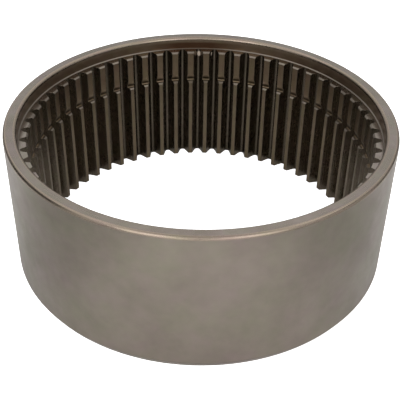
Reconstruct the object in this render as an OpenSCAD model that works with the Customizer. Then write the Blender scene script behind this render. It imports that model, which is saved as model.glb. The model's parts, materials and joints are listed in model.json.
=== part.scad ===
// Internal ring gear: one steel ring with straight teeth round its bore.
// The section is turned about the Z axis, then the spaces between the teeth are cut through it.
// Z = 0 is the lower end face and the plain recess is at the top. All sizes are in millimetres.

/* [Teeth] */
// Number of teeth round the bore
tooth_count = 59; // [50:1:70]
// Module: pitch circle diameter divided by the number of teeth
tooth_module = 5; // [4.5:0.1:5.5]
// Pressure angle of the involute flanks, in degrees
pressure_angle = 25; // [20:0.5:26]
// Height of a tooth inside the pitch circle, in modules
tip_height = 0.87; // [0.75:0.01:0.95]
// Depth of a space outside the pitch circle, in modules
root_depth = 1; // [0.95:0.01:1.1]
// Radius of the rounding at the bottom of a space, in modules
root_round = 0.4; // [0.15:0.01:0.45]
// Play of a mating tooth in a space, measured along the pitch circle
flank_play = 0.2; // [0:0.05:0.4]

/* [Ring] */
// Metal between the bottoms of the spaces and the outside of the ring
rim_wall = 12.5; // [10:0.5:20]
// Height of the ring from end face to end face
ring_height = 130; // [115:1:160]

/* [Recess] */
// Depth of the plain recess above the teeth
recess_depth = 12; // [8:0.5:16]
// Width of the ledge between the bottoms of the spaces and the recess wall
ledge_width = 1.5; // [1.3:0.1:3]
// Bevel in the bottom corner of the recess
ledge_bevel = 0.8; // [0.5:0.1:1.2]

/* [Bored teeth] */
// Length of the teeth that are bored shorter, from their upper ends to the shoulder
bored_length = 31; // [24:0.5:40]
// Height that the boring takes off these teeth
bored_cut = 2.65; // [1.5:0.05:3]
// Depth of the relief groove above the shoulder
relief_depth = 1.4; // [0.6:0.1:2]
// Height of the straight bottom of the relief groove
relief_flat = 2; // [1:0.1:3]
// Height of the run-in slope of the relief groove
relief_slope = 4.5; // [2:0.1:8]
// Radius left by the boring tool in the bottom corner of the relief groove
relief_round = 0.9; // [0.3:0.1:0.9]

/* [Edges] */
// Radius on the outer edge of the upper end face
outer_round = 2.6; // [0.5:0.1:3]
// Radius at the mouth of the recess
mouth_round = 2.6; // [0.5:0.1:3]
// Height of the lead-in bevel round the lower end
lead_in_height = 6; // [2:0.1:10]
// Slope of the lead-in bevel away from the axis, in degrees
lead_in_angle = 30; // [10:1:35]
// Chamfer on the tips at the upper ends of the teeth
tooth_end_chamfer = 1.4; // [0.5:0.1:2]
// Chamfer on the tips at the shoulder
shoulder_chamfer = 1.5; // [0.5:0.1:1.8]
// Chamfer on the tips at the lower end face
foot_chamfer = 0.7; // [0.3:0.1:2]

/* [Hidden] */
pitch_r = tooth_count * tooth_module / 2;
base_r = pitch_r * cos(pressure_angle);
tip_r = pitch_r - tip_height * tooth_module;
root_r = pitch_r + root_depth * tooth_module;
outer_r = root_r + rim_wall;
recess_r = root_r + ledge_width;
bored_r = tip_r + bored_cut;
relief_r = bored_r + relief_depth;
tooth_end_z = ring_height - recess_depth;
shoulder_z = tooth_end_z - bored_length;
relief_z = shoulder_z + relief_flat;
lead_in_width = lead_in_height * tan(lead_in_angle);
// Angle between a flank and the radius where the flank reaches the bottom of a space
root_angle = acos(base_r / root_r);
round_r = root_round * tooth_module;
// Length of flank that the rounding takes up
round_run = round_r / tan((90 + root_angle) / 2);
// The cutting shape reaches past the tips and past both end faces by this much
overcut = 1;
flank_steps = 4;
round_steps = 3;
edge_steps = 4;
facets = 3 * tooth_count;
steel = [0.42, 0.4, 0.36];

// Involute of an angle, in radians
function involute(a) = tan(a) - a * PI / 180;
// Half the angle that a space takes up at radius r, in degrees
function half_space(r) =
  90 / tooth_count
  + (involute(pressure_angle) - involute(acos(base_r / r)) + flank_play / (2 * pitch_r)) * 180 / PI;
function polar(r, a) = [r * cos(a), r * sin(a)];
function step(from, to, share) = from + (to - from) * share;
// Points on an arc about a centre, between two angles in degrees
function arc(centre, r, from, to) = [
  for (i = [0:edge_steps])
    centre + polar(r, step(from, to, i / edge_steps))
];

// One flank of a space, from inside the tips out to where the rounding starts
flank_start_r = tip_r - overcut;
flank_end_r = root_r - round_run * cos(root_angle);
flank = [
  for (i = [0:flank_steps])
    let (r = step(flank_start_r, flank_end_r, i / flank_steps))
    polar(r, half_space(r))
];
// Rounding in the corner of the space: u runs along the bottom and v runs inward
corner_a = half_space(root_r);
corner = polar(root_r, corner_a);
along = polar(1, corner_a - 90);
inward = -polar(1, corner_a);
rounding = [
  for (i = [1:round_steps])
    let (t = (90 - root_angle) * (1 - i / round_steps))
    let (u = round_run - round_r * sin(t))
    let (v = round_r - round_r * cos(t))
    corner + u * along + v * inward
];
half_outline = concat(flank, rounding);
other_half = [
  for (i = [len(half_outline) - 1:-1:0])
    [half_outline[i][0], -half_outline[i][1]]
];

// Section of the ring with full teeth, as radius and height
section = [
  [tip_r + foot_chamfer, 0],
  [outer_r - lead_in_width, 0],
  [outer_r, lead_in_height],
  each arc([outer_r - outer_round, ring_height - outer_round], outer_round, 0, 90),
  each arc([recess_r + mouth_round, ring_height - mouth_round], mouth_round, 90, 180),
  [recess_r, tooth_end_z + ledge_bevel],
  [recess_r - ledge_bevel, tooth_end_z],
  [bored_r + tooth_end_chamfer, tooth_end_z],
  [bored_r, tooth_end_z - tooth_end_chamfer],
  [bored_r, relief_z + relief_slope],
  [relief_r, relief_z],
  each arc([relief_r - relief_round, shoulder_z + relief_round], relief_round, 0, -90),
  [tip_r + shoulder_chamfer, shoulder_z],
  [tip_r, shoulder_z - shoulder_chamfer],
  [tip_r, foot_chamfer]
];

module ring_gear() {
  color(steel)
    difference() {
      rotate_extrude($fn = facets)
        polygon(section);
      for (k = [0:tooth_count - 1])
        rotate(k * 360 / tooth_count)
          translate([0, 0, -overcut])
            linear_extrude(ring_height + 2 * overcut)
              polygon(concat(half_outline, other_half));
    }
}

ring_gear();
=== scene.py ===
# %% [markdown]
# # A steel ring gear with its teeth on the inside
# The object is one piece of steel: a turned ring with 59 straight teeth cut round its bore. Every
# surface on it was left by a tool, so this lesson follows the workshop. The turned section comes
# first, then the spaces between the teeth, then the broken edges, and last the finish of each surface.
#
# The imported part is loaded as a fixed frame. It gives the real size and place, in metres, and what is
# made here stays inside its box.

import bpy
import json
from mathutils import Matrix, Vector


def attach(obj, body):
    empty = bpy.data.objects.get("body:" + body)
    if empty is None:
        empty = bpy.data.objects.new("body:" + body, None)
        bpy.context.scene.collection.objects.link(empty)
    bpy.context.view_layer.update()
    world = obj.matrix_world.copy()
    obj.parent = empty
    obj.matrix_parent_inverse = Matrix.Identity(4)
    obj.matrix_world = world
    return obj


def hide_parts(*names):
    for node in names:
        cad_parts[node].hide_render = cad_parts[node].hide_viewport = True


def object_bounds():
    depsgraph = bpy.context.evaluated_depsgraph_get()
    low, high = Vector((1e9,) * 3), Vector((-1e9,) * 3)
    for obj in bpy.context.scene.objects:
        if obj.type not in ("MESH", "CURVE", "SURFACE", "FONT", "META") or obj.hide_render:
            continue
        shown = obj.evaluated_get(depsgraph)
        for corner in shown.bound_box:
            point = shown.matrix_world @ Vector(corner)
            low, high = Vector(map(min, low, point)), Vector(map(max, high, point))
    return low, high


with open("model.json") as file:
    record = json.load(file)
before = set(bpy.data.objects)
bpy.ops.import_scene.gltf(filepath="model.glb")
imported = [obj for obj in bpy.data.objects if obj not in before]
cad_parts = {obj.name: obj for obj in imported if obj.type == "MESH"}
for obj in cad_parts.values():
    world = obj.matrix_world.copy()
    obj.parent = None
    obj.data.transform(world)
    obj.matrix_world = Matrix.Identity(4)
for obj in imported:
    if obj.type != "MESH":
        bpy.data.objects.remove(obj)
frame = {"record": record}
cad_low, cad_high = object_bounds()
print("CAD box from", tuple(cad_low), "to", tuple(cad_high))

# %% [markdown]
# ## The turned section
# On a lathe the blank gets its outside with a bevelled foot, its two end faces, two rounded upper edges
# and a plain recess above the teeth. It could be cut from cylinders with booleans. A section that is
# swept round the axis says the same in a few corners, and leaves clean faces. The radii that other
# parts fit on come from the frame's mounts, so they can't drift away from the CAD part.

# %% Sizes of the turned ring
import json
import math

import bmesh
import bpy
from mathutils import Matrix, Vector

MM = 0.001
fits = {mount["name"]: mount["dims"] for mount in frame["record"]["mounts"]}
outer_r = fits["outer_seat"]["r_mm"] * MM
recess_r = fits["cover_recess"]["r_mm"] * MM
ring_height = cad_high.z - cad_low.z
recess_depth = 12 * MM
ledge_bevel = 0.8 * MM
outer_round = 2.6 * MM
mouth_round = 2.6 * MM
lead_in_height = 6 * MM
lead_in_angle = math.radians(30)
lead_in_width = lead_in_height * math.tan(lead_in_angle)
tooth_end_z = ring_height - recess_depth
print(f"outside radius {outer_r / MM:.1f} mm, height {ring_height / MM:.1f} mm")

# %% Points on an arc of the section, between two angles in degrees
ROUND_STEPS = 6


def arc(centre_r, centre_z, radius, start, end):
    turns = [math.radians(start + (end - start) * i / ROUND_STEPS) for i in range(ROUND_STEPS + 1)]
    return [(centre_r + radius * math.cos(turn), centre_z + radius * math.sin(turn)) for turn in turns]


outer_edge = arc(outer_r - outer_round, ring_height - outer_round, outer_round, 0, 90)
mouth_edge = arc(recess_r + mouth_round, ring_height - mouth_round, mouth_round, 90, 180)
print("points round each upper edge:", len(outer_edge))

# %% Lines of the turned section, from the lower end face to the ledge above the teeth
OUTSIDE, RIM, ENDS, RECESS, LEDGE, FLANKS, BORED, LANDS, CHAMFERS, TOOTH_ENDS, EDGES = range(11)
lower_rim = (outer_r - lead_in_width, 0)
ledge_top = (recess_r, tooth_end_z + ledge_bevel)
ledge_rim = (recess_r - ledge_bevel, tooth_end_z)
turned_lines = [
    (OUTSIDE, [lower_rim, (outer_r, lead_in_height), outer_edge[0]]),
    (RIM, outer_edge),
    (ENDS, [outer_edge[-1], mouth_edge[0]]),
    (RIM, mouth_edge),
    (RECESS, [mouth_edge[-1], ledge_top]),
    (LEDGE, [ledge_top, ledge_rim]),
]
print("turned lines:", len(turned_lines))

# %% [markdown]
# ## The flank of a tooth
# Gear teeth that roll on each other have involute flanks. The involute of an angle gives the width of
# a tooth at any radius, so a flank needs no drawing: a loop walks along it. At the bottom of a space
# the cutter leaves a small rounding, which is an arc between the flank and the root.

# %% Sizes of the teeth, of which the heights and the rounding are counted in modules
tooth_count = 59
tooth_module = 5 * MM
pressure_angle = math.radians(25)
tip_height = 0.87
root_depth = 1
root_round = 0.4
flank_play = 0.2 * MM
pitch = 2 * math.pi / tooth_count
pitch_r = tooth_count * tooth_module / 2
base_r = pitch_r * math.cos(pressure_angle)
tip_r = pitch_r - tip_height * tooth_module
root_r = pitch_r + root_depth * tooth_module
round_r = root_round * tooth_module
print(f"{tooth_count} teeth, tips at {tip_r / MM:.2f} mm and roots at {root_r / MM:.2f} mm")


# %% Half the angle that a tooth takes up at a radius
def involute(angle):
    return math.tan(angle) - angle


def half_tooth(r):
    opened = involute(math.acos(base_r / r)) - involute(pressure_angle)
    return pitch / 4 + opened - flank_play / (2 * pitch_r)


print(f"a tooth is {2 * tip_r * half_tooth(tip_r) / MM:.2f} mm wide at its tip")

# %% One side of a space, as radius and angle from the middle of a tooth
FLANK_STEPS = 3
flank_split_r = 148 * MM
root_angle = math.acos(base_r / root_r)
round_run = round_r / math.tan((math.pi / 2 + root_angle) / 2)
flank_end_r = root_r - round_run * math.cos(root_angle)


def space_side():
    points = []
    for i in range(FLANK_STEPS + 1):
        r = flank_split_r + (flank_end_r - flank_split_r) * i / FLANK_STEPS
        points.append((r, half_tooth(r)))
    for i in range(1, ROUND_STEPS + 1):
        turn = (math.pi / 2 - root_angle) * (1 - i / ROUND_STEPS)
        along = round_run - round_r * math.sin(turn)
        depth = root_r - round_r + round_r * math.cos(turn)
        points.append((math.hypot(depth, along), half_tooth(root_r) + math.atan2(along, depth)))
    last_r, last_angle = points[-1]
    points.append((last_r * math.cos(pitch / 2 - last_angle), pitch / 2))
    return points


side = space_side()
print("points down one side of a space:", len(side))

# %% [markdown]
# ## The tips of the teeth
# The upper part of each tooth is bored shorter, down to a shoulder with a relief groove above it where
# the boring tool ran out. The tips are chamfered at the upper end, at the shoulder and at the lower
# end. Cutting each tooth by itself would say this 59 times. It is one more turned line instead, and
# each of its stretches becomes a land on every tooth.

# %% Sizes along the tips
bored_length = 31 * MM
bored_cut = 2.65 * MM
relief_depth = 1.4 * MM
relief_flat = 2 * MM
relief_slope = 4.5 * MM
relief_round = 0.9 * MM
tooth_end_chamfer = 1.4 * MM
shoulder_chamfer = 1.5 * MM
foot_chamfer = 0.7 * MM
bored_r = tip_r + bored_cut
relief_r = bored_r + relief_depth
shoulder_z = tooth_end_z - bored_length
relief_z = shoulder_z + relief_flat
print(f"the shoulder is {shoulder_z / MM:.1f} mm up, its step is {bored_cut / MM:.2f} mm")

# %% Corners of the tip line, from the upper end of a tooth to the lower
groove_corner = arc(relief_r - relief_round, shoulder_z + relief_round, relief_round, 0, -90)
upper_tip = (bored_r, tooth_end_z - tooth_end_chamfer)
shoulder_rim = (tip_r + shoulder_chamfer, shoulder_z)
lower_tip = (tip_r, shoulder_z - shoulder_chamfer)
foot = (tip_r, foot_chamfer)
tip_lines = [
    (CHAMFERS, [(bored_r + tooth_end_chamfer, tooth_end_z), upper_tip]),
    (BORED, [upper_tip, (bored_r, relief_z + relief_slope), (relief_r, relief_z), *groove_corner]),
    (CHAMFERS, [groove_corner[-1], shoulder_rim, lower_tip]),
    (LANDS, [lower_tip, foot]),
    (CHAMFERS, [foot, (tip_r + foot_chamfer, 0)]),
]
print("stretches along a tip:", len(tip_lines))

# %% [markdown]
# ## One tooth and its share of the ring
# All 59 teeth are alike, so only one sector is worked out, as faces with corners in radius, angle and
# height. A boolean cut would leave long thin triangles on the flanks. Faces that are laid out one by
# one keep clean loops of edges, and those are what a bevel needs later.

# %% Turned faces and lands of one sector
ARC_STEPS = 4
sector = []
for finish, line in turned_lines:
    for (r_a, z_a), (r_b, z_b) in zip(line, line[1:]):
        for i in range(ARC_STEPS):
            left, right = (pitch * (j / ARC_STEPS - 0.5) for j in (i, i + 1))
            corners = [(r_a, left, z_a), (r_a, right, z_a), (r_b, right, z_b), (r_b, left, z_b)]
            sector.append((finish, corners))
for finish, line in tip_lines:
    for (r_a, z_a), (r_b, z_b) in zip(line, line[1:]):
        a, b = half_tooth(r_a), half_tooth(r_b)
        sector.append((finish, [(r_a, -a, z_a), (r_a, a, z_a), (r_b, b, z_b), (r_b, -b, z_b)]))
print("turned faces and lands in a sector:", len(sector))


# %% Flanks and roots of a sector
def mirrored(corners):
    return [(r, -angle, z) for r, angle, z in reversed(corners)]


tip_line = [tip_lines[0][1][0]] + [corner for finish, line in tip_lines for corner in line[1:]]
upper_flank = [(r, half_tooth(r), z) for r, z in tip_line]
split_angle = half_tooth(flank_split_r)
upper_flank += [(flank_split_r, split_angle, 0), (flank_split_r, split_angle, tooth_end_z)]
flank_faces = [upper_flank]
for (r_a, a), (r_b, b) in zip(side, side[1:]):
    flank_faces.append([(r_a, a, 0), (r_b, b, 0), (r_b, b, tooth_end_z), (r_a, a, tooth_end_z)])
for corners in flank_faces:
    sector.append((FLANKS, corners))
    sector.append((FLANKS, mirrored(corners)))
print("faces down one flank and root:", len(flank_faces))

# %% The two flat ends of a sector
flat_ends = [
    (TOOTH_ENDS, tooth_end_z, tip_line[0], ledge_rim),
    (ENDS, 0, tip_line[-1], lower_rim),
]
for finish, z, tip, rim in flat_ends:
    half = [(tip[0], half_tooth(tip[0]), z)] + [(r, angle, z) for r, angle in side]
    rim_arc = [(rim[0], pitch * (0.5 - i / ARC_STEPS), z) for i in range(ARC_STEPS + 1)]
    sector.append((finish, mirrored(half) + half + rim_arc))
print("faces in a sector:", len(sector))

# %% [markdown]
# ## The whole ring
# The sector is repeated round the axis and its seams are welded. An array modifier would repeat it
# too, but the edges are marked on the welded mesh, so a loop does it. A space is centred on the X
# axis, as on the CAD part. Where two faces meet at a sharp outward corner the edge gets a bevel
# weight, because a real edge is always broken a little. Inward corners stay sharp.

# %% Repeat and weld the sectors
WELD_GAP = 0.01 * MM
ring = bmesh.new()
for k in range(tooth_count):
    turned = (k + 0.5) * pitch
    for finish, corners in sector:
        spots = [(r * math.cos(a + turned), r * math.sin(a + turned), z) for r, a, z in corners]
        face = ring.faces.new([ring.verts.new(spot) for spot in spots])
        face.material_index = finish
        face.smooth = True
bmesh.ops.remove_doubles(ring, verts=ring.verts, dist=WELD_GAP)
bmesh.ops.recalc_face_normals(ring, faces=ring.faces)
print("welded ring:", len(ring.verts), "corners,", len(ring.faces), "faces")

# %% Mark the edges that are broken and the corners that stay sharp
CREASE = math.radians(16)
CORNER = math.radians(25)
RIM_WEIGHT = 0.3
TOOTH_WEIGHT = 0.25
broken = ring.edges.layers.float.new("bevel_weight_edge")
count = 0
for edge in ring.edges:
    bend = edge.calc_face_angle(0)
    spot = (edge.verts[0].co + edge.verts[1].co) / 2
    at_ledge = abs(spot.z - tooth_end_z) < MM and spot.xy.length > flank_end_r - MM
    if bend > CORNER and edge.is_convex and not at_ledge:
        edge[broken] = RIM_WEIGHT if spot.xy.length > recess_r - MM else TOOTH_WEIGHT
        count += 1
    edge.smooth = bend < CREASE
print("broken edges:", count, "of", len(ring.edges))

# %% The ring gear as one piece that stands for the CAD node
FULL_BREAK = 0.9 * MM
mesh = bpy.data.meshes.new("ring_gear_dressed")
ring.to_mesh(mesh)
ring.free()
gear = bpy.data.objects.new("ring_gear_dressed", mesh)
bpy.context.scene.collection.objects.link(gear)
bevel = gear.modifiers.new("broken edges", "BEVEL")
bevel.limit_method = "WEIGHT"
bevel.width = FULL_BREAK
bevel.segments = 3
bevel.use_clamp_overlap = False
bevel.material = EDGES
flat_shading = gear.modifiers.new("flat faces stay flat", "WEIGHTED_NORMAL")
flat_shading.keep_sharp = True
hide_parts("ring_gear")
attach(gear, "root")
print("ring gear:", len(mesh.polygons), "faces before its edges are broken")

# %% [markdown]
# ## Helpers for the finishes
# Every finish is made of shader nodes. Small helpers keep the cells short: one makes a node and fills
# or links its inputs, three make the sums, ramps and mixes that come up again and again, and one opens
# a node group with named inputs and outputs. A group is made once and placed in each material that
# needs it, with that material's own values.


# %% Make a node, and the three most common ones
def add_node(tree, kind, inputs, **settings):
    made = tree.nodes.new(kind)
    for name, value in settings.items():
        setattr(made, name, value)
    for name, value in inputs.items():
        if isinstance(value, bpy.types.NodeSocket):
            tree.links.new(value, made.inputs[name])
        else:
            made.inputs[name].default_value = value
    return made


def compute(tree, operation, *values):
    return add_node(tree, "ShaderNodeMath", dict(enumerate(values)), operation=operation).outputs[0]


def ramp(tree, value, low, high, at_low=0.0, at_high=1.0):
    inputs = {0: value, 1: low, 2: high, 3: at_low, 4: at_high}
    return add_node(tree, "ShaderNodeMapRange", inputs).outputs[0]


def blend(tree, share, first, second, mode="MIX"):
    inputs = {0: share, 6: first, 7: second}
    return add_node(tree, "ShaderNodeMix", inputs, data_type="RGBA", blend_type=mode).outputs[2]


print("node helpers are ready")

# %% Open a node group
FLOAT, COLOUR, VECTOR = "NodeSocketFloat", "NodeSocketColor", "NodeSocketVector"


def open_group(name, inputs, outputs):
    group = bpy.data.node_groups.new(name, "ShaderNodeTree")
    for label, kind in inputs.items():
        group.interface.new_socket(label, in_out="INPUT", socket_type=kind)
    for label, kind in outputs.items():
        group.interface.new_socket(label, in_out="OUTPUT", socket_type=kind)
    return group, group.nodes.new("NodeGroupInput").outputs, group.nodes.new("NodeGroupOutput").inputs


print("group helper is ready")


# %% Where a point is: its X, Y and Z, its angle round the ring and its distance from the axis
def place_on_object(tree):
    place = add_node(tree, "ShaderNodeTexCoord", {}).outputs["Object"]
    return add_node(tree, "ShaderNodeSeparateXYZ", {0: place}).outputs


def angle_round(tree, apart):
    return compute(tree, "ARCTAN2", apart["Y"], apart["X"])


def distance_out(tree, apart):
    flat = add_node(tree, "ShaderNodeCombineXYZ", {0: apart["X"], 1: apart["Y"]}).outputs[0]
    return add_node(tree, "ShaderNodeVectorMath", {0: flat}, operation="LENGTH").outputs["Value"]


print("place helpers are ready")

# %% [markdown]
# ## Oil mottling
# Oiled steel is never one even colour: heat, fingers and drying oil leave soft clouds, and where the
# film of oil is thicker the steel turns from green-grey to purple-brown. An image could show this, but
# it would need unwrapping. Two noises of different size, read in the object's own metres, do it
# everywhere. One channel of the noise mixes a clean colour with a stained one, and another tints the
# result. The clouds sit on the object, so they stay put from every side.

# %% Oil mottling group
FINER = 4.3
FINE_SHARE = 0.35
CLOUD_FADE = (0.33, 0.67)
FILM_THIN = (0.96, 1.032, 0.933, 1)
FILM_THICK = (1.049, 0.96, 1.081, 1)
mottling, ins, outs = open_group(
    "Oil mottling",
    {"Clean": COLOUR, "Stained": COLOUR, "Cloud Size": FLOAT, "Amount": FLOAT},
    {"Color": COLOUR, "Mask": FLOAT},
)
place = add_node(mottling, "ShaderNodeTexCoord", {}).outputs["Object"]
per_metre = compute(mottling, "DIVIDE", 1.0, ins["Cloud Size"])
finer = compute(mottling, "MULTIPLY", per_metre, FINER)
clouds = add_node(mottling, "ShaderNodeTexNoise", {"Vector": place, "Scale": per_metre, "Detail": 3.0})
fine_clouds = add_node(mottling, "ShaderNodeTexNoise", {"Vector": place, "Scale": finer, "Detail": 4.0})
both = blend(mottling, FINE_SHARE, clouds.outputs["Color"], fine_clouds.outputs["Color"])
noises = add_node(mottling, "ShaderNodeSeparateColor", {0: both}).outputs
mask = compute(mottling, "MULTIPLY", ramp(mottling, noises["Red"], *CLOUD_FADE), ins["Amount"])
stained = blend(mottling, mask, ins["Clean"], ins["Stained"])
hue = blend(mottling, ramp(mottling, noises["Green"], *CLOUD_FADE), FILM_THIN, FILM_THICK)
filmed = blend(mottling, ins["Amount"], stained, hue, "MULTIPLY")
mottling.links.new(filmed, outs["Color"])
mottling.links.new(mask, outs["Mask"])
print("group", mottling.name, "has", len(mottling.nodes), "nodes")

# %% [markdown]
# ## Tool marks
# A lathe leaves fine lines round the part, and a broach leaves lines along the teeth. Both are the same
# thing: a random profile that changes in one direction only. Grooves in the mesh would need millions
# of faces, so the profile becomes a bump and a change of roughness. The group measures each point by
# its radius, its way round the ring and its height, and a direction picks which of the three counts.

# %% Tool marks group
marks, ins, outs = open_group(
    "Tool marks",
    {"Direction": VECTOR, "Spacing": FLOAT},
    {"Height": FLOAT, "Roughness Change": FLOAT},
)
apart = place_on_object(marks)
radius = distance_out(marks, apart)
way_round = compute(marks, "MULTIPLY", angle_round(marks, apart), pitch_r)
measured = add_node(marks, "ShaderNodeCombineXYZ", {0: radius, 1: way_round, 2: apart["Z"]}).outputs[0]
directed = {0: measured, 1: ins["Direction"]}
across = add_node(marks, "ShaderNodeVectorMath", directed, operation="DOT_PRODUCT").outputs["Value"]
along_marks = {"W": compute(marks, "DIVIDE", across, ins["Spacing"]), "Scale": 1.0, "Detail": 2.0}
profile = add_node(marks, "ShaderNodeTexNoise", along_marks, noise_dimensions="1D").outputs[0]
marks.links.new(profile, outs["Height"])
marks.links.new(ramp(marks, profile, 0.3, 0.7, -0.5, 0.5), outs["Roughness Change"])
print("group", marks.name, "has", len(marks.nodes), "nodes")

# %% [markdown]
# ## A machined steel finish
# All surfaces are the same oiled steel, so one function makes each finish from its own colours,
# roughness and tool marks. Separate materials made by hand would drift apart. Metallic is a plain 1 on
# the shader. The mottling drives the colour, the marks and the mottling drive the roughness, and the
# marks feed a bump.

# %% One finish of the steel
ROUND_A_WALL = (0, 0, 1)
ROUND_A_FACE = (1, 0, 0)
ALONG_THE_TEETH = (0, 1, 0)
STAINS_DULL = 0.1
MARKS_DULL = 0.06


def machined_steel(name, clean, stained, cloud_size, amount, roughness, direction, spacing, depth):
    steel = bpy.data.materials.new(name)
    steel.use_nodes = True
    tree = steel.node_tree
    shader = tree.nodes["Principled BSDF"].inputs
    shader["Metallic"].default_value = 1.0
    clouds = {"Clean": (*clean, 1), "Stained": (*stained, 1), "Cloud Size": cloud_size, "Amount": amount}
    tooling = {"Direction": direction, "Spacing": spacing}
    stain = add_node(tree, "ShaderNodeGroup", {}, node_tree=mottling)
    tooled = add_node(tree, "ShaderNodeGroup", {}, node_tree=marks)
    for placed, values in ((stain, clouds), (tooled, tooling)):
        for label, value in values.items():
            placed.inputs[label].default_value = value
    dull = compute(tree, "MULTIPLY_ADD", stain.outputs["Mask"], STAINS_DULL, roughness)
    rough = compute(tree, "MULTIPLY_ADD", tooled.outputs["Roughness Change"], MARKS_DULL, dull)
    lines = {"Height": tooled.outputs["Height"], "Distance": depth, "Strength": 1.0}
    bump = add_node(tree, "ShaderNodeBump", lines).outputs[0]
    tree.links.new(stain.outputs["Color"], shader["Base Color"])
    tree.links.new(rough, shader["Roughness"])
    tree.links.new(bump, shader["Normal"])
    return steel


finishes = {}
print("finish function is ready")

# %% [markdown]
# ## Outside, rounded edges and end faces
# The outside is fine turned and dull, with large clouds of old oil. The two rounded edges at the top
# are smoother and a little warmer, and they carry the brightest lines. The end faces are smoother
# still, and the upper one mirrors the light behind the ring. On a wall the tool marks change with
# height, on a face with the radius. One finish for all would lose these steps from dull to bright.

# %% Finishes of the outside, the rounded edges and the end faces
finishes[OUTSIDE] = machined_steel(
    "turned outside",
    clean=(0.277, 0.244, 0.201),
    stained=(0.216, 0.187, 0.153),
    cloud_size=40 * MM,
    amount=0.75,
    roughness=0.36,
    direction=ROUND_A_WALL,
    spacing=0.3 * MM,
    depth=0.002 * MM,
)
finishes[RIM] = machined_steel(
    "turned rim",
    clean=(0.303, 0.249, 0.197),
    stained=(0.263, 0.212, 0.164),
    cloud_size=20 * MM,
    amount=0.6,
    roughness=0.25,
    direction=ROUND_A_FACE,
    spacing=0.3 * MM,
    depth=0.002 * MM,
)
finishes[ENDS] = machined_steel(
    "faced ends",
    clean=(0.274, 0.242, 0.206),
    stained=(0.214, 0.184, 0.151),
    cloud_size=24 * MM,
    amount=0.8,
    roughness=0.2,
    direction=ROUND_A_FACE,
    spacing=0.3 * MM,
    depth=0.002 * MM,
)
print("finishes so far:", [steel.name for steel in finishes.values()])

# %% [markdown]
# ## Recess and ledge
# The wall of the recess is bored and stays oily, so it is browner and duller than the outside. The
# narrow bevel at its foot is cleaner and shines as a pale line round the ring. It has a finish of
# its own, because a line this fine would be lost in the colour of its neighbours.

# %% Finishes of the recess and its ledge
finishes[RECESS] = machined_steel(
    "bored recess",
    clean=(0.246, 0.19, 0.132),
    stained=(0.188, 0.136, 0.092),
    cloud_size=30 * MM,
    amount=0.9,
    roughness=0.38,
    direction=ROUND_A_WALL,
    spacing=0.4 * MM,
    depth=0.002 * MM,
)
finishes[LEDGE] = machined_steel(
    "ledge line",
    clean=(0.26, 0.229, 0.195),
    stained=(0.215, 0.184, 0.15),
    cloud_size=6 * MM,
    amount=0.7,
    roughness=0.3,
    direction=ALONG_THE_TEETH,
    spacing=0.5 * MM,
    depth=0.001 * MM,
)
print("finishes so far:", [steel.name for steel in finishes.values()])

# %% [markdown]
# ## Flanks and lands
# The teeth have the darkest colours on the ring: painted shade, for the little light that reaches
# between them, and oil that stays there. The flanks and the lands below the shoulder have tool marks
# along the teeth, and the bored lands have them round the bore. The same function makes all three,
# with darker and browner colours.

# %% Finishes of the flanks and the lands
finishes[FLANKS] = machined_steel(
    "tooth flanks",
    clean=(0.18, 0.151, 0.114),
    stained=(0.154, 0.126, 0.093),
    cloud_size=15 * MM,
    amount=0.8,
    roughness=0.24,
    direction=ALONG_THE_TEETH,
    spacing=0.3 * MM,
    depth=0.003 * MM,
)
finishes[BORED] = machined_steel(
    "bored lands",
    clean=(0.219, 0.164, 0.106),
    stained=(0.178, 0.129, 0.081),
    cloud_size=12 * MM,
    amount=0.8,
    roughness=0.3,
    direction=ROUND_A_WALL,
    spacing=0.4 * MM,
    depth=0.002 * MM,
)
finishes[LANDS] = machined_steel(
    "tooth lands",
    clean=(0.198, 0.156, 0.103),
    stained=(0.16, 0.123, 0.079),
    cloud_size=12 * MM,
    amount=0.8,
    roughness=0.3,
    direction=ALONG_THE_TEETH,
    spacing=0.4 * MM,
    depth=0.002 * MM,
)
print("finishes so far:", [steel.name for steel in finishes.values()])

# %% [markdown]
# ## Chamfers, tooth ends and broken edges
# The chamfers and the upper ends of the teeth are cleaner and catch the light. The broken edges are
# the strips that the bevel makes. They are dark, and draw a thin outline round each tooth.
# A drawn line could do that too, but a strip with its own finish shades like the real edge. The
# finishes are then given to the mesh in the order of their numbers.

# %% Finishes of the chamfers, the tooth ends and the broken edges
finishes[CHAMFERS] = machined_steel(
    "chamfers",
    clean=(0.21, 0.18, 0.147),
    stained=(0.172, 0.144, 0.115),
    cloud_size=8 * MM,
    amount=0.7,
    roughness=0.28,
    direction=ROUND_A_FACE,
    spacing=0.3 * MM,
    depth=0.001 * MM,
)
finishes[TOOTH_ENDS] = machined_steel(
    "faced tooth ends",
    clean=(0.278, 0.245, 0.209),
    stained=(0.235, 0.201, 0.166),
    cloud_size=10 * MM,
    amount=0.8,
    roughness=0.2,
    direction=ROUND_A_FACE,
    spacing=0.3 * MM,
    depth=0.001 * MM,
)
finishes[EDGES] = machined_steel(
    "dark broken edges",
    clean=(0.15, 0.126, 0.098),
    stained=(0.12, 0.1, 0.075),
    cloud_size=6 * MM,
    amount=0.7,
    roughness=0.3,
    direction=ALONG_THE_TEETH,
    spacing=0.5 * MM,
    depth=0.001 * MM,
)
for number in sorted(finishes):
    mesh.materials.append(finishes[number])
print("finishes on the ring:", [steel.name for steel in mesh.materials])
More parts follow.
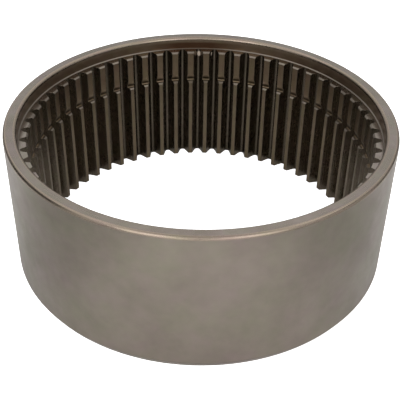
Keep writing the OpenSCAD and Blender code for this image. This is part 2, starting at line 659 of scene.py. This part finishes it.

# %% [markdown]
# ## Painted shade in the corners
# A dark brown is painted at the bottom of the recess, mostly at the back, and in the groove and on the
# shoulder. It is painted shade, for the shade that falls in these corners and at the back of the ring.
# It could be painted by hand, but its place is simple to say: the group makes a soft band between two
# heights, and thins it away from the back of the ring as far as it is told to.

# %% Painted shade band group
# Painted shade: the mask darkens a soft band between two heights, most of all at the back of the ring.
PATCH_ANGLE = math.radians(93)
PATCH_FADE = (0.12, 0.32)
shade_band, ins, outs = open_group(
    "Painted shade band", {"Low": FLOAT, "High": FLOAT, "Fade": FLOAT, "Elsewhere": FLOAT}, {"Mask": FLOAT}
)
apart = place_on_object(shade_band)
bottom = compute(shade_band, "SUBTRACT", ins["Low"], ins["Fade"])
top = compute(shade_band, "ADD", ins["High"], ins["Fade"])
starts = ramp(shade_band, apart["Z"], bottom, ins["Low"])
stops = ramp(shade_band, apart["Z"], ins["High"], top, 1.0, 0.0)
band = compute(shade_band, "MULTIPLY", starts, stops)
off_patch = compute(shade_band, "SUBTRACT", angle_round(shade_band, apart), PATCH_ANGLE)
painted_shade = ramp(shade_band, compute(shade_band, "ABSOLUTE", off_patch), *PATCH_FADE, 1.0, ins["Elsewhere"])
shade_band.links.new(compute(shade_band, "MULTIPLY", band, painted_shade), outs["Mask"])
print("group", shade_band.name, "has", len(shade_band.nodes), "nodes")


# %% Painted shade on the recess, its ledge, the groove and the shoulder
def paint_shade_band(steel, colour, low, high, fade, elsewhere):
    tree = steel.node_tree
    base = tree.nodes["Principled BSDF"].inputs["Base Color"]
    painted_shade = add_node(tree, "ShaderNodeGroup", {}, node_tree=shade_band)
    for label, value in (("Low", low), ("High", high), ("Fade", fade), ("Elsewhere", elsewhere)):
        painted_shade.inputs[label].default_value = value
    unshaded = base.links[0].from_socket
    tree.links.new(blend(tree, painted_shade.outputs["Mask"], unshaded, (*colour, 1)), base)


# Painted shade in dark browns: the foot of the recess, its ledge, the groove and the shoulder.
recess_low = tooth_end_z - MM
recess_high = tooth_end_z + 6 * MM
paint_shade_band(finishes[RECESS], (0.1, 0.053, 0.03), recess_low, recess_high, 2 * MM, 0.33)
paint_shade_band(finishes[LEDGE], (0.1, 0.076, 0.056), recess_low, recess_high, 2 * MM, 0.3)
paint_shade_band(finishes[BORED], (0.05, 0.036, 0.022), relief_z - 0.7 * MM, relief_z + MM, 0.9 * MM, 0.9)
paint_shade_band(finishes[CHAMFERS], (0.11, 0.088, 0.063), shoulder_z - 2 * MM, shoulder_z + MM, MM, 0.2)
print("painted shade on", [finishes[i].name for i in (RECESS, LEDGE, BORED, CHAMFERS)])

# %% [markdown]
# ## Painted shade in the roots
# Between the teeth both roundings of each root are painted dark, and the flat between them too, low
# down: painted shade in the creases and towards the foot. The distance from the middle of the nearest
# space gives the two dark lines on all 59 roots at once. Only the flanks use it, so it needs no group.

# %% Painted shade along both roundings of each root
# Painted shade colour for the roundings of each root and the foot of the flat between them.
ROOT_SHADE = (0.055, 0.045, 0.032, 1)
flank_tree = finishes[FLANKS].node_tree
flank_shader = flank_tree.nodes["Principled BSDF"].inputs
apart = place_on_object(flank_tree)
spaces = compute(flank_tree, "DIVIDE", angle_round(flank_tree, apart), pitch)
nearest = compute(flank_tree, "ROUND", spaces)
off_middle = compute(flank_tree, "ABSOLUTE", compute(flank_tree, "SUBTRACT", spaces, nearest))
aside = compute(flank_tree, "MULTIPLY", off_middle, pitch * root_r)
darker_low_down = ramp(flank_tree, apart["Z"], 10 * MM, 80 * MM, 0.5, 0.0)
starts = ramp(flank_tree, aside, 0.3 * MM, 0.7 * MM, darker_low_down, 0.7)
stops = ramp(flank_tree, aside, 1.6 * MM, 2.4 * MM, 1.0, 0.0)
painted_shade = compute(flank_tree, "MULTIPLY", starts, stops)
unshaded = flank_shader["Base Color"].links[0].from_socket
flank_tree.links.new(blend(flank_tree, painted_shade, unshaded, ROOT_SHADE), flank_shader["Base Color"])
print("painted shade along", tooth_count, "roots")

# %% [markdown]
# ## Painted glints
# Two small glints between the teeth at the back, just under the ledge, are painted highlights: a pale
# colour stands in for light that the roots reflect there. They could be small lumps of mesh, but at this
# size only their colour shows. A glint is a mask: it is 1 near a point of the object and 0 elsewhere,
# and it is taller than it is wide. The masks also take the Metallic away.

# %% Painted glint group
UPRIGHT = (1, 1, 0.6)
CORE_SHARE = 0.7
glint_group, ins, outs = open_group("Painted glint", {"Centre": VECTOR, "Size": FLOAT}, {"Mask": FLOAT})
place = add_node(glint_group, "ShaderNodeTexCoord", {}).outputs["Object"]
from_centre = {0: place, 1: ins["Centre"]}
apart = add_node(glint_group, "ShaderNodeVectorMath", from_centre, operation="SUBTRACT").outputs[0]
squeezed = add_node(glint_group, "ShaderNodeVectorMath", {0: apart, 1: UPRIGHT}, operation="MULTIPLY").outputs[0]
reach = add_node(glint_group, "ShaderNodeVectorMath", {0: squeezed}, operation="LENGTH").outputs["Value"]
core = compute(glint_group, "MULTIPLY", ins["Size"], CORE_SHARE)
glint_group.links.new(ramp(glint_group, reach, core, ins["Size"], 1.0, 0.0), outs["Mask"])
print("group", glint_group.name, "has", len(glint_group.nodes), "nodes")

# %% Painted glints on the tooth flanks
# Painted highlight: the pale colour of the two glints, without metal.
GLINT_PALE = (0.5, 0.41, 0.33, 1)


def paint_glint(radius, degrees, height, size):
    turn = math.radians(degrees)
    dot = add_node(flank_tree, "ShaderNodeGroup", {}, node_tree=glint_group)
    dot.inputs["Centre"].default_value = (radius * math.cos(turn), radius * math.sin(turn), height)
    dot.inputs["Size"].default_value = size
    under = flank_shader["Base Color"].links[0].from_socket
    pale = blend(flank_tree, dot.outputs["Mask"], under, GLINT_PALE)
    flank_tree.links.new(pale, flank_shader["Base Color"])
    return dot.outputs["Mask"]


root_glint = paint_glint(root_r, 91.3, tooth_end_z - 4.6 * MM, 2 * MM)
flank_glint = paint_glint(150 * MM, 86.55, tooth_end_z - 3.4 * MM, 1.2 * MM)
glinting = compute(flank_tree, "ADD", root_glint, flank_glint)
flank_tree.links.new(compute(flank_tree, "SUBTRACT", 1.0, glinting), flank_shader["Metallic"])
print("painted glints on", finishes[FLANKS].name)

# %% [markdown]
# ## Floor
# The ring stands on a plain white table. The table glows for the camera alone, so it is white in the
# picture whatever light falls on it, and the steel mirrors the table's own paint. That paint is a
# little darker beside the front of the ring and in the middle of the bore, as a painted shadow of the
# ring. The sides of the outside and the insides of the teeth mirror those places and have to be dark.

# %% Shape of the table
TABLE_HALF = 4.0
TABLE_Z = -0.1 * MM
table_mesh = bpy.data.meshes.new("table")
table_corners = [(x * TABLE_HALF, y * TABLE_HALF, TABLE_Z) for x, y in ((-1, -1), (1, -1), (1, 1), (-1, 1))]
table_mesh.from_pydata(table_corners, [], [(0, 1, 2, 3)])
table = bpy.data.objects.new("table", table_mesh)
bpy.context.scene.collection.objects.link(table)
print("table is", 2 * TABLE_HALF, "m wide")

# %% Paint of the table
# The two shade values below paint the ring's shadow onto the table, in the bore and beside its front.
WHITE = 0.93
BORE_SHADOW = 0.72
SIDE_SHADE = -0.36
white = bpy.data.materials.new("white table")
white.use_nodes = True
tree = white.node_tree
apart = place_on_object(tree)
beside = ramp(tree, compute(tree, "ABSOLUTE", apart["X"]), 0.12, 0.26)
before = ramp(tree, apart["Y"], -0.11, 0.0, SIDE_SHADE, 0.0)
bore_shadow = ramp(tree, distance_out(tree, apart), 0.06, 0.13, BORE_SHADOW, WHITE)
paint = tree.nodes["Principled BSDF"].inputs
tree.links.new(compute(tree, "MULTIPLY_ADD", beside, before, bore_shadow), paint["Base Color"])
paint["Roughness"].default_value = 0.9
paint["Emission Color"].default_value = (1, 1, 1, 1)
seen = add_node(tree, "ShaderNodeLightPath", {}).outputs["Is Camera Ray"]
tree.links.new(seen, paint["Emission Strength"])
table_mesh.materials.append(white)
print("paint on", table.name)

# %% [markdown]
# ## Soft lights
# A metal shows what is around it, so the lights are placed by what should be seen in the steel. They
# are large and soft, as in a product photo. One bright sky would light the ring too, but then no line
# on it could be placed. The ceiling, the top boxes and the wings light the teeth.
# The two boxes above the camera and the front cards make the bright line on the front rim, one on each
# side of its middle. The end face mirrors the cards at the back, and the cards at the sides and rear
# lie in the rounded edges. Brightness is light per area, so a larger card isn't a brighter one.

# %% One soft light that looks at the middle of the ring
middle = Vector((0, 0, ring_height / 2))


def soft_box(name, way, distance, size, brightness):
    lamp = bpy.data.lights.new(name, "AREA")
    lamp.shape = "RECTANGLE"
    lamp.size, lamp.size_y = size
    lamp.energy = brightness * math.pi * size[0] * size[1]
    box = bpy.data.objects.new(name, lamp)
    box.location = middle + Vector(way).normalized() * distance
    box.rotation_euler = (middle - box.location).to_track_quat("-Z", "Y").to_euler()
    bpy.context.scene.collection.objects.link(box)


print("lights look at", tuple(middle))

# %% Ceiling, boxes and wings above the ring
soft_box("ceiling", (0, -0.25, 1), 1.3, (3.0, 2.6), 0.7)
soft_box("left box", (-0.51, -0.87, 0.92), 1.15, (0.38, 0.74), 1.7)
soft_box("right box", (0.5, -0.87, 0.92), 1.15, (0.4, 0.74), 1.3)
soft_box("left top box", (-0.31, 0.26, 0.91), 1.2, (0.4, 0.4), 0.55)
soft_box("right top box", (0.31, 0.26, 0.91), 1.2, (0.4, 0.4), 0.5)
soft_box("left wing", (-1, -0.1, 1.5), 1.25, (0.9, 0.6), 0.5)
soft_box("right wing", (1, 0, 1.45), 1.25, (0.9, 0.6), 0.5)

# %% Cards round the ring
soft_box("front left card", (-0.38, -1, 0.28), 1.5, (0.95, 1.1), 1.75)
soft_box("front right card", (0.41, -1, 0.28), 1.5, (1.0, 1.1), 1.6)
soft_box("left card", (-1, -0.6, 0.3), 1.5, (0.6, 0.9), 0.75)
soft_box("right card", (1, -0.35, 0.3), 1.5, (1.4, 0.9), 0.62)
soft_box("back card", (0, 1, 0.95), 1.6, (2.4, 1.2), 0.81)
soft_box("high back card", (0, 1, 1.09), 1.6, (0.8, 0.7), 0.16)
soft_box("low back card", (0, 1, 0.18), 1.6, (3.0, 0.65), 0.45)
soft_box("left rear card", (-0.75, 0.7, 0.55), 1.5, (0.8, 0.7), 0.35)
soft_box("right rear card", (0.9, 0.5, 0.55), 1.5, (0.9, 0.6), 0.5)

# %% [markdown]
# ## White room
# Behind the table the picture is white, but a white room would wash out the dark gaps between the
# teeth. So the world is bright for the camera alone and dim for the steel.

# %% Room
ROOM_DIM = 0.1
ROOM_SEEN = 0.95
world = bpy.data.worlds.new("studio")
world.use_nodes = True
room = world.node_tree
in_view = add_node(room, "ShaderNodeLightPath", {}).outputs["Is Camera Ray"]
backdrop = room.nodes["Background"].inputs
backdrop["Color"].default_value = (0.95, 0.97, 1.0, 1)
room.links.new(compute(room, "MULTIPLY_ADD", in_view, ROOM_SEEN, ROOM_DIM), backdrop["Strength"])
bpy.context.scene.world = world
bpy.context.scene.view_settings.view_transform = "Standard"
print("room is", world.name)

# %% [markdown]
# ## Camera
# The photo looks down into the ring from the front. Its lens, distance and tilt were found by fitting
# the ring's own circles to the picture. The camera stands on a line from the middle of the upper
# face, looks a little lower than that middle, and is rolled by about one degree.

# %% Camera at the photo's place
camera_distance = 0.68601
camera_elevation = math.radians(30.147)
camera_down = math.radians(36.121)
camera_roll = math.radians(0.9435)
lens = bpy.data.cameras.new("camera")
lens.sensor_width = 36
lens.lens = 72.72
camera = bpy.data.objects.new("camera", lens)
stand = Vector((0, -math.cos(camera_elevation), math.sin(camera_elevation))) * camera_distance
camera.matrix_world = (
    Matrix.Translation(stand + Vector((0, 0, ring_height)))
    @ Matrix.Rotation(math.pi / 2 - camera_down, 4, "X")
    @ Matrix.Rotation(camera_roll, 4, "Z")
)
bpy.context.scene.collection.objects.link(camera)
bpy.context.scene.camera = camera
print("camera at", [round(c, 3) for c in camera.matrix_world.translation])
